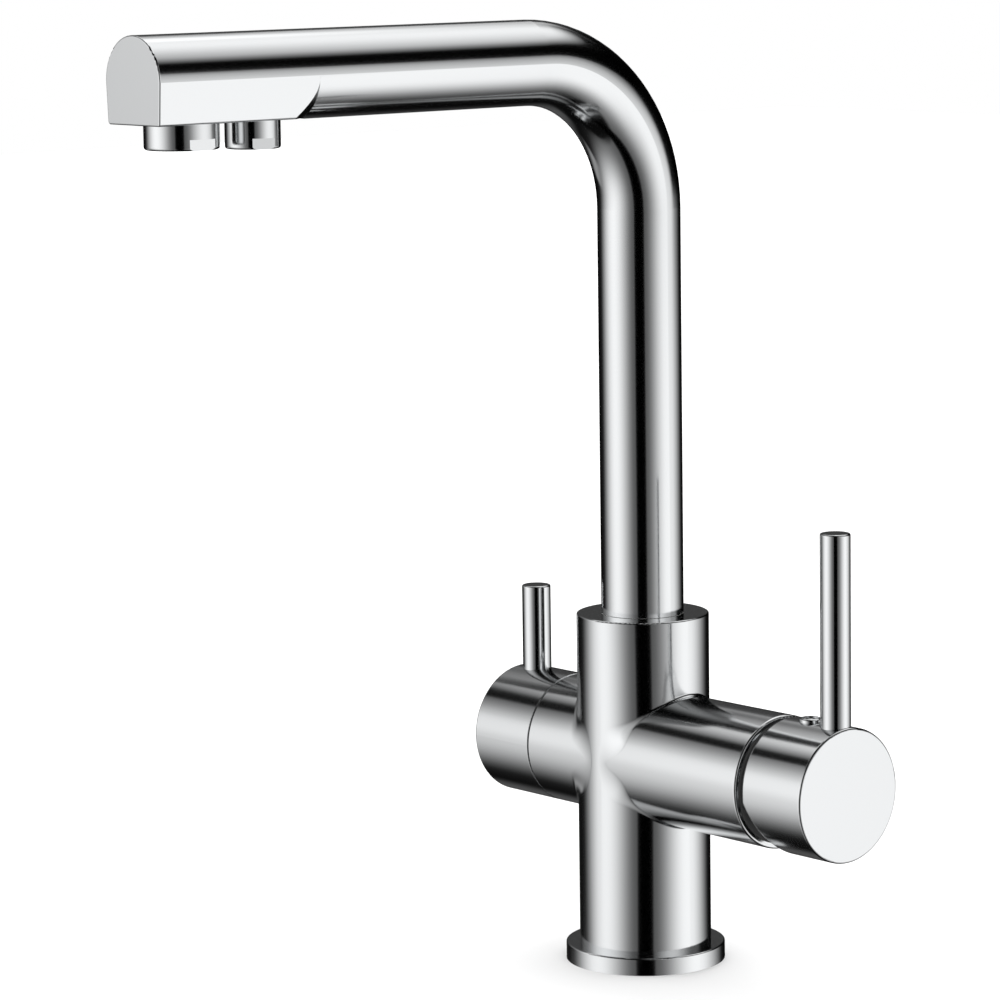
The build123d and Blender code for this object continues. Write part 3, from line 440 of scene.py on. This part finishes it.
def moulded_material(name, colour, grain, roughness, bump_strength, contrast):
    """Rubber, plastic or ceramic: one colour in soft patches, with a fine grain."""
    tree, shader, place = new_material(name)
    surface = place_group(tree, grain, Position=place)
    feed(tree, shader.inputs["Roughness"], remap(tree, surface["Patches"], *roughness))
    tint = tinted(
        tree, surface["Patches"], shaded(colour, 1 - contrast), shaded(colour, 1 + contrast)
    )
    feed(tree, shader.inputs["Base Color"], tint)
    add_bump(tree, shader, surface["Height"], bump_strength, GRAIN_DEPTH)


def make_materials(finish):
    """One material for each slot of the record, under the slot's name."""
    polish = polish_group()
    turning = turning_group()
    grain = grain_group()
    chrome_material(finish, polish)
    turned_material(
        "raw_brass", finish.brass_colour, turning, pitch=0.22 * MM, roughness=(0.20, 0.38),
        shades=(0.8, 1.12), bump=BRASS_BUMP, centre=(0, 0, arm_axis_z),
    )
    turned_material(
        "screw_steel", finish.steel_colour, turning, pitch=0.15 * MM, roughness=(0.24, 0.42),
        shades=(0.85, 1.1), bump=STEEL_BUMP,
    )
    moulded_material(
        "seal_rubber", finish.rubber_colour, grain, roughness=(0.5, 0.68),
        bump_strength=0.35, contrast=0.25,
    )
    moulded_material(
        "valve_plastic", finish.plastic_colour, grain, roughness=(0.36, 0.5),
        bump_strength=0.15, contrast=0.05,
    )
    moulded_material(
        "ceramic_white", finish.ceramic_colour, grain, roughness=(0.08, 0.16),
        bump_strength=0.05, contrast=0.03,
    )


# ================================================================ pieces of the frame
def finish_nodes(slot_name):
    """Give every CAD node of one slot its finished material."""
    material = bpy.data.materials[slot_name]
    for subpart in frame["record"]["subparts"]:
        if subpart["material_slot"] == slot_name:
            piece = frame["nodes"][subpart["node"]]
            for index in range(max(1, len(piece.material_slots))):
                if len(piece.material_slots) <= index:
                    piece.data.materials.append(material)
                piece.material_slots[index].material = material


class TAP_OT_materials(bpy.types.Operator):
    """Make the materials of all slots."""

    bl_idname = "tap.materials"
    bl_label = "Materials"

    def execute(self, context):
        make_materials(context.scene.tap_finish)
        return {"FINISHED"}


class TAP_OT_finish_chrome(bpy.types.Operator):
    """Plate the outer pieces with polished chrome."""

    bl_idname = "tap.finish_chrome"
    bl_label = "Chrome pieces"

    def execute(self, context):
        finish_nodes("polished_chrome")
        return {"FINISHED"}


class TAP_OT_finish_metal(bpy.types.Operator):
    """Finish the turned brass pieces and the steel screws, pins and clip."""

    bl_idname = "tap.finish_metal"
    bl_label = "Brass and steel pieces"

    def execute(self, context):
        finish_nodes("raw_brass")
        finish_nodes("screw_steel")
        return {"FINISHED"}


class TAP_OT_finish_inner(bpy.types.Operator):
    """Finish the seals, the moulded inner pieces and the ceramic discs."""

    bl_idname = "tap.finish_inner"
    bl_label = "Seals, plastic and ceramic"

    def execute(self, context):
        finish_nodes("seal_rubber")
        finish_nodes("valve_plastic")
        finish_nodes("ceramic_white")
        return {"FINISHED"}


# ================================================================ mesh helpers
def select_only(piece):
    """Deselect everything, then select one object and make it active."""
    bpy.ops.object.select_all(action="DESELECT")
    piece.select_set(True)
    bpy.context.view_layer.objects.active = piece


def recalculate_normals(piece):
    """Turn a closed mesh's faces outward."""
    select_only(piece)
    bpy.ops.object.mode_set(mode="EDIT")
    bpy.ops.mesh.select_all(action="SELECT")
    bpy.ops.mesh.normals_make_consistent(inside=False)
    bpy.ops.object.mode_set(mode="OBJECT")


# ================================================================ blends of pillar and arms
def blend_radius(blends, angle):
    """The blend's radius at an angle round the arm, from the front or the back."""
    rise = min(1.0, abs(atan2(sin(angle), abs(cos(angle)))) / blends.tight_from)
    rise = rise * rise * (3 - 2 * rise)
    return blends.wide_radius * (blends.tight_radius / blends.wide_radius) ** rise


def blend_section(blends, angle, side):
    """Points across the blend at one angle, on a ball that touches both sides, and one buried."""
    radius = blend_radius(blends, angle)
    forward = -cos(angle)
    upward = sin(angle)
    reach = arm_radius + radius
    ball = Vector((
        side * sqrt((body_radius + radius) ** 2 - (reach * forward) ** 2),
        reach * forward,
        reach * upward,
    ))
    on_arm = Vector((ball.x, arm_radius * forward, arm_radius * upward))
    on_body = Vector((ball.x, ball.y, 0)) * (body_radius / (body_radius + radius))
    on_body.z = ball.z
    start = (on_arm - ball).normalized()
    end = (on_body - ball).normalized()
    apart = start.angle(end) > SMALL_ANGLE
    shares = [step / blends.strips for step in range(blends.strips + 1)]
    directions = [start.slerp(end, share) if apart else start for share in shares]
    points = [ball + direction * (radius - BLEND_LIFT) for direction in directions]
    crease = Vector((
        side * sqrt(body_radius ** 2 - (arm_radius * forward) ** 2),
        arm_radius * forward,
        arm_radius * upward,
    ))
    outward = Vector((crease.x / body_radius, crease.y / body_radius, 0))
    outward += Vector((0, forward, upward))
    points.append(crease - outward.normalized() * BLEND_SKIRT)
    return points


def crossing_blend(name, side, blends):
    """A closed ring laid in the corner between the pillar and one arm."""
    across = blends.strips + 2  # points in one section, the last of them buried
    bpy.ops.object.select_all(action="DESELECT")
    bpy.ops.mesh.primitive_torus_add(
        major_segments=blends.turns, minor_segments=across, major_radius=arm_radius,
        minor_radius=blends.tight_radius, location=(0, 0, 0),
    )
    piece = bpy.context.object
    piece.name = name
    place = Vector((0, 0, arm_axis_z))
    for turn in range(blends.turns):
        section = blend_section(blends, 2 * pi * turn / blends.turns, side)
        for index, point in enumerate(section):
            piece.data.vertices[turn * across + index].co = place + point
    recalculate_normals(piece)
    smooth_blend(piece.data, across, blends.turns)
    piece.data.materials.append(bpy.data.materials["polished_chrome"])
    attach(piece, "tap_body")


def smooth_blend(mesh, across, turns):
    """Smooth shading of a blend's face, which runs into the pillar and the arm without a kink."""
    places = [vertex.co.copy() for vertex in mesh.vertices]
    last = across - 2  # index of the section's last point on the face

    def place_at(turn, index):
        return places[turn % turns * across + index]

    def surface_normal(turn, index):
        """The normal from the neighbours along and across; the rims use the strip's own curve."""
        along = place_at(turn + 1, index) - place_at(turn - 1, index)
        here = place_at(turn, index)
        if index == 0:
            over = 4 * (place_at(turn, 1) - here) - (place_at(turn, 2) - here)
        elif index == last:
            over = 4 * (here - place_at(turn, last - 1)) - (here - place_at(turn, last - 2))
        else:
            over = place_at(turn, index + 1) - place_at(turn, index - 1)
        return along.cross(over).normalized()

    normals = []
    for face in mesh.polygons:
        face.use_smooth = True
        skirt = any(index % across == across - 1 for index in face.vertices)
        for index in face.vertices:
            normal = face.normal
            if not skirt:
                normal = surface_normal(index // across, index % across)
                if normal.dot(face.normal) < 0:
                    normal = -normal
            normals.append(tuple(normal))
    mesh.normals_split_custom_set(normals)


def flange_and_gap_shade(blends):
    """The thin flange of the cartridge's cover, which shows in the gap of the mixer handle; its
    black paints the shade in the mouth of that gap.
    """
    bevel = blends.flange_thickness * FLANGE_BEVEL
    foot = mixer_arm_end - FLANGE_SINK
    face = mixer_arm_end + blends.flange_thickness
    outline = (
        (foot, FLANGE_BORE),
        (foot, blends.flange_radius),
        (face - bevel, blends.flange_radius),
        (face, blends.flange_radius - bevel),
        (face, FLANGE_BORE),
    )
    bpy.ops.object.select_all(action="DESELECT")
    bpy.ops.mesh.primitive_circle_add(vertices=len(outline), radius=1.0, location=(0, 0, 0))
    piece = bpy.context.object
    piece.name = "flange_and_gap_shade"
    for vertex, (x, radius) in zip(piece.data.vertices, outline):
        vertex.co = (x, 0, radius)
    turn = piece.modifiers.new("turn", "SCREW")
    turn.axis = "X"
    turn.steps = FLANGE_STEPS
    turn.render_steps = FLANGE_STEPS
    turn.use_merge_vertices = True
    turn.merge_threshold = MERGE_DISTANCE
    bpy.ops.object.modifier_apply(modifier="turn")
    piece.data.transform(Matrix.Translation((0, 0, arm_axis_z)))
    recalculate_normals(piece)
    bpy.ops.object.shade_smooth_by_angle(angle=FLANGE_CREASE)
    # Black rubber here is also painted shade for the mouth of the mixer's gap.
    piece.data.materials.append(bpy.data.materials["seal_rubber"])
    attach(piece, "tap_body")


class TAP_OT_blends(bpy.types.Operator):
    """Blend the pillar into its two arms, and add the cover's flange, black as painted shade, in
    the mixer's gap.
    """

    bl_idname = "tap.blends"
    # The cover flange's black is painted shade in the mixer's gap.
    bl_label = "Blends and cover flange"

    def execute(self, context):
        blends = context.scene.tap_blends
        crossing_blend("mixer_arm_blend", 1, blends)
        crossing_blend("filter_arm_blend", -1, blends)
        flange_and_gap_shade(blends)
        return {"FINISHED"}


# ================================================================ threads
def inner_thread(name, mount, pitch, steps):
    """The ridge of an inner thread: a triangle that climbs the hole's wall in a helix."""
    radius = mount["dims"]["r_mm"] * MM
    depth = mount["dims"]["length_mm"] * MM
    wall = radius + THREAD_SINK
    bpy.ops.object.select_all(action="DESELECT")
    bpy.ops.mesh.primitive_circle_add(
        vertices=3, radius=1.0, location=(0, 0, 0), rotation=(pi / 2, 0, 0)
    )
    piece = bpy.context.object
    piece.name = name
    bpy.ops.object.transform_apply()
    inner, low, high = sorted(piece.data.vertices, key=lambda v: (round(v.co.x, 3), v.co.z))
    inner.co = (radius - THREAD_HEIGHT * pitch, 0, pitch / 2)
    low.co = (wall, 0, THREAD_GAP * pitch)
    high.co = (wall, 0, (1 - THREAD_GAP) * pitch)
    screw = piece.modifiers.new("helix", "SCREW")
    screw.axis = "Z"
    screw.screw_offset = pitch
    screw.iterations = int(depth / pitch) - 1
    screw.steps = steps
    screw.render_steps = steps
    screw.use_smooth_shade = False
    bpy.ops.object.modifier_apply(modifier="helix")
    bpy.ops.object.mode_set(mode="EDIT")
    bpy.ops.mesh.select_all(action="SELECT")
    bpy.ops.mesh.remove_doubles(threshold=MERGE_DISTANCE)
    bpy.ops.mesh.fill_holes(sides=3)
    bpy.ops.mesh.select_all(action="SELECT")
    bpy.ops.mesh.normals_make_consistent(inside=False)
    bpy.ops.object.mode_set(mode="OBJECT")
    bpy.ops.object.shade_smooth_by_angle(angle=THREAD_CREASE)
    piece.data.transform(Matrix.Translation(mount["pos_m"]))
    piece.data.materials.append(bpy.data.materials["raw_brass"])
    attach(piece, "tap_body")


class TAP_OT_threads(bpy.types.Operator):
    """Add the threads of the stud hole and of the three hose ports."""

    bl_idname = "tap.threads"
    bl_label = "Threads"

    def execute(self, context):
        threads = context.scene.tap_threads
        inner_thread("stud_thread", mounts["fixing_stud"], threads.stud_pitch, threads.steps)
        for name in ("hot_inlet", "cold_inlet", "filtered_inlet"):
            inner_thread(f"{name}_thread", mounts[name], threads.port_pitch, threads.steps)
        return {"FINISHED"}


# ================================================================ stage
# Each studio panel is placed by azimuth from the camera, right positive, and by elevation, in
# degrees: centre and half width, the elevations where it starts and is full, where it stops being
# full and ends, and its brightness.
PANELS = {
    "right softbox": (80, 66, -63, -22, -9, 22, 1.09),
    "left softbox": (-74, 59, -66, -4, 8, 53, 1.06),
    "left fill": (-100, 40, -12, 2, 8, 30, 0.17),
    "overhead softbox": (144, 91, 31, 46, 90, 95, 1.08),
    "left overhead softbox": (-132, 45, 37, 50, 90, 95, 1.00),
    "front fill": (40, 46, 20, 28, 42, 46, 0.28),
    "right fill": (48, 38, 0, 8, 16, 24, 0.60),
    "side walls": (0, 160, -66, -60, 15, 17, 0.11),
    "left floor": (-70, 62, -69, -66, -30, -5, 0.10),
    "right floor": (65, 60, -69, -63, -40, -20, 0.15),
    "floor behind": (-170, 22, -48, -36, -22, -9, 0.08),
    "left back floor": (-132, 22, -34, -28, -17.5, -14.3, 0.30),
    "right back floor": (130, 25, -38, -32, -17.5, -14.3, 0.30),
    "left back softbox": (-132, 27, 2, 9, 28, 37, 0.15),
    "back softbox": (174, 17, 24, 26, 55, 80, 0.6),
    "back wall": (180, 60, -4, 5, 60, 85, 0.05),
    "left back wall": (-166, 24, 17, 24, 43, 50, 0.09),
}
# Each black flag in front of the panels: its centre, half width and soft side edge in azimuth, the
# elevations where it starts and ends, and the softness of those two edges.
FLAGS = {
    "left flag": (-112, 24, 3, 34, 40, 0.5),
    "back flag": (-144, 7, 1.5, 41.5, 95, 1),
    "right flag": (113, 33, 3, 14.8, 33, 0.7),
    "right back flag": (140, 24, 14, -1, 24, 5),
    "front top flag": (20, 60, 5, 44, 95, 2),
}
FLAG_DEPTH = 0.98  # share of the light that a flag takes away
CARD_HALF_WIDTH = 12.7  # the black card round the camera, in degrees
CARD_FEATHER = 2.0
CARD_TOP = 30.0
CARD_TOP_FEATHER = 10.0
ROOM_LIGHT = 0.0035  # brightness where there is no panel
FLOOR_PATCH_SCALE = 3.0
FLOOR_CONTRAST = 0.005


def panel_group():
    """Brightness of one studio panel in a direction."""
    names = (
        "Azimuth", "Elevation", "Centre", "Half width",
        "Start", "Full", "Last", "End", "Brightness",
    )
    group, source, result = new_group("studio_panel", [(n, FLOAT, 0.0) for n in names], ("Value",))
    apart = calculate(group, "SUBTRACT", source["Azimuth"], source["Centre"])
    apart = calculate(group, "WRAP", apart, 180.0, -180.0)
    share = calculate(group, "ABSOLUTE", calculate(group, "DIVIDE", apart, source["Half width"]))
    share = calculate(group, "MINIMUM", share, 1.0)
    wave = calculate(group, "COSINE", calculate(group, "MULTIPLY", share, pi))
    across = calculate(group, "MULTIPLY_ADD", wave, 0.5, 0.5)
    rise = smooth_step(group, source["Elevation"], source["Start"], source["Full"])
    fall = smooth_step(group, source["Elevation"], source["End"], source["Last"])
    upright = calculate(group, "MULTIPLY", rise, fall)
    value = calculate(group, "MULTIPLY", across, upright)
    feed(group, result["Value"], calculate(group, "MULTIPLY", value, source["Brightness"]))
    return group


def flag_group():
    """The share of light that one black flag lets through in a direction."""
    names = ("Azimuth", "Elevation", "Centre", "Half width", "Feather", "Low", "High", "Edge")
    group, source, result = new_group("studio_flag", [(n, FLOAT, 0.0) for n in names], ("Value",))
    apart = calculate(group, "SUBTRACT", source["Azimuth"], source["Centre"])
    apart = calculate(group, "ABSOLUTE", calculate(group, "WRAP", apart, 180.0, -180.0))
    outer = calculate(group, "ADD", source["Half width"], source["Feather"])
    covered = smooth_step(group, apart, outer, source["Half width"])
    bottom = calculate(group, "SUBTRACT", source["Low"], source["Edge"])
    top = calculate(group, "ADD", source["High"], source["Edge"])
    for outside, inside in ((bottom, source["Low"]), (top, source["High"])):
        share = smooth_step(group, source["Elevation"], outside, inside)
        covered = calculate(group, "MULTIPLY", covered, share)
    feed(group, result["Value"], calculate(group, "MULTIPLY_ADD", covered, -FLAG_DEPTH, 1.0))
    return group


def studio_bearing(studio):
    """The bearing of the camera from the middle of the tap, in degrees from +X."""
    x, y, _ = studio.camera_place
    return degrees(atan2(y, x))


def studio_reflections(tree, camera_bearing):
    """The brightness that polished metal sees: a few soft panels in a dark room."""
    direction = add_node(tree, "ShaderNodeTexCoord").outputs["Generated"]
    split = add_node(tree, "ShaderNodeSeparateXYZ")
    feed(tree, split.inputs[0], direction)
    x, y, z = split.outputs
    bearing = calculate(tree, "DEGREES", calculate(tree, "ARCTAN2", y, x))
    azimuth = calculate(tree, "SUBTRACT", bearing, camera_bearing)
    azimuth = calculate(tree, "WRAP", azimuth, 180.0, -180.0)
    elevation = calculate(tree, "DEGREES", calculate(tree, "ARCSINE", z))
    group = panel_group()
    total = ROOM_LIGHT
    for name, (centre, half_width, start, full, last, end, brightness) in PANELS.items():
        value = place_group(
            tree, group, Azimuth=azimuth, Elevation=elevation, Centre=centre,
            Half_width=half_width, Start=start, Full=full, Last=last, End=end,
            Brightness=brightness,
        )["Value"]
        total = calculate(tree, "ADD", total, value, label=name)
    group = flag_group()
    for name, (centre, half_width, feather, low, high, edge) in FLAGS.items():
        value = place_group(
            tree, group, Azimuth=azimuth, Elevation=elevation, Centre=centre,
            Half_width=half_width, Feather=feather, Low=low, High=high, Edge=edge,
        )["Value"]
        total = calculate(tree, "MULTIPLY", total, value, label=name)
    aside = smooth_step(
        tree, calculate(tree, "ABSOLUTE", azimuth), CARD_HALF_WIDTH, CARD_HALF_WIDTH + CARD_FEATHER
    )
    above = smooth_step(tree, elevation, CARD_TOP, CARD_TOP + CARD_TOP_FEATHER)
    return calculate(tree, "MULTIPLY", total, calculate(tree, "MAXIMUM", aside, above))


def studio_world(studio):
    """White behind the tap, and soft panels round it for the reflections."""
    world = bpy.data.worlds.new("studio")
    bpy.context.scene.world = world
    world.use_nodes = True
    tree = world.node_tree
    background = tree.nodes["Background"]
    background.inputs["Color"].default_value = (1.0, 1.0, 1.0, 1.0)
    rays = add_node(tree, "ShaderNodeLightPath").outputs
    seen = add_node(tree, "ShaderNodeMix", data_type="FLOAT")
    feed(tree, seen.inputs[0], rays["Is Camera Ray"])
    feed(tree, seen.inputs[2], studio_reflections(tree, studio_bearing(studio)))
    feed(tree, seen.inputs[3], 1.0)
    feed(tree, background.inputs["Strength"], seen.outputs[0])


def floor_material(colour):
    """Matt pale paper in very faint patches."""
    tree, shader, place = new_material("floor_paper")
    tint = tinted(
        tree, noise(tree, place, FLOOR_PATCH_SCALE),
        shaded(colour, 1 - FLOOR_CONTRAST), shaded(colour, 1 + FLOOR_CONTRAST),
    )
    feed(tree, shader.inputs["Base Color"], tint)
    shader.inputs["Roughness"].default_value = 1.0
    shader.inputs["Specular IOR Level"].default_value = 0.0


class TAP_OT_stage(bpy.types.Operator):
    """Set the floor, the studio light and the camera."""

    bl_idname = "tap.stage"
    bl_label = "Stage"

    def execute(self, context):
        studio = context.scene.tap_studio
        bpy.ops.object.select_all(action="DESELECT")
        bpy.ops.mesh.primitive_plane_add(size=studio.floor_size, location=(0, 0, 0))
        floor = context.object
        floor.name = "floor"
        floor_material(studio.floor_colour)
        floor.data.materials.append(bpy.data.materials["floor_paper"])
        floor.visible_glossy = False
        studio_world(studio)
        bpy.ops.object.light_add(type="SUN", location=(0, 0, 1))
        lamp = context.object
        lamp.name = "light_dome"
        lamp.data.angle = studio.dome_spread
        lamp.data.energy = studio.dome_strength
        lamp.visible_glossy = False
        bpy.ops.object.camera_add(location=studio.camera_place)
        camera = context.object
        camera.name = "camera"
        camera.data.lens = studio.lens
        camera.matrix_world = (
            Matrix.Translation(studio.camera_place)
            @ Matrix.Rotation(studio.camera_yaw, 4, "Z")
            @ Matrix.Rotation(pi / 2 - studio.camera_pitch, 4, "X")
            @ Matrix.Rotation(studio.camera_roll, 4, "Z")
        )
        context.scene.camera = camera
        context.scene.view_settings.view_transform = "Standard"
        return {"FINISHED"}


# ================================================================ panel and registration
OPERATORS = (
    TAP_OT_materials,
    TAP_OT_finish_chrome,
    TAP_OT_finish_metal,
    TAP_OT_finish_inner,
    TAP_OT_blends,
    TAP_OT_threads,
    TAP_OT_stage,
)


class TAP_PT_sidebar(bpy.types.Panel):
    """The tap's settings and steps, in order."""

    bl_label = "Three way water tap"
    bl_space_type = "VIEW_3D"
    bl_region_type = "UI"
    bl_category = "Tap"

    def draw(self, context):
        for settings_name in SETTINGS:
            settings = getattr(context.scene, settings_name)
            box = self.layout.box()
            for name in settings.__annotations__:
                box.prop(settings, name)
        for operator in OPERATORS:
            self.layout.operator(operator.bl_idname)


SETTINGS = {
    "tap_finish": TapFinish,
    "tap_blends": TapBlends,
    "tap_threads": TapThreads,
    "tap_studio": TapStudio,
}
CLASSES = (*SETTINGS.values(), *OPERATORS, TAP_PT_sidebar)


def register():
    for item in CLASSES:
        bpy.utils.register_class(item)
    for name, group in SETTINGS.items():
        setattr(bpy.types.Scene, name, bpy.props.PointerProperty(type=group))


def unregister():
    for name in SETTINGS:
        delattr(bpy.types.Scene, name)
    for item in reversed(CLASSES):
        bpy.utils.unregister_class(item)


def main():
    register()
    for operator in OPERATORS:
        family, step = operator.bl_idname.split(".")
        getattr(getattr(bpy.ops, family), step)()


if __name__ == "__main__":
    main()
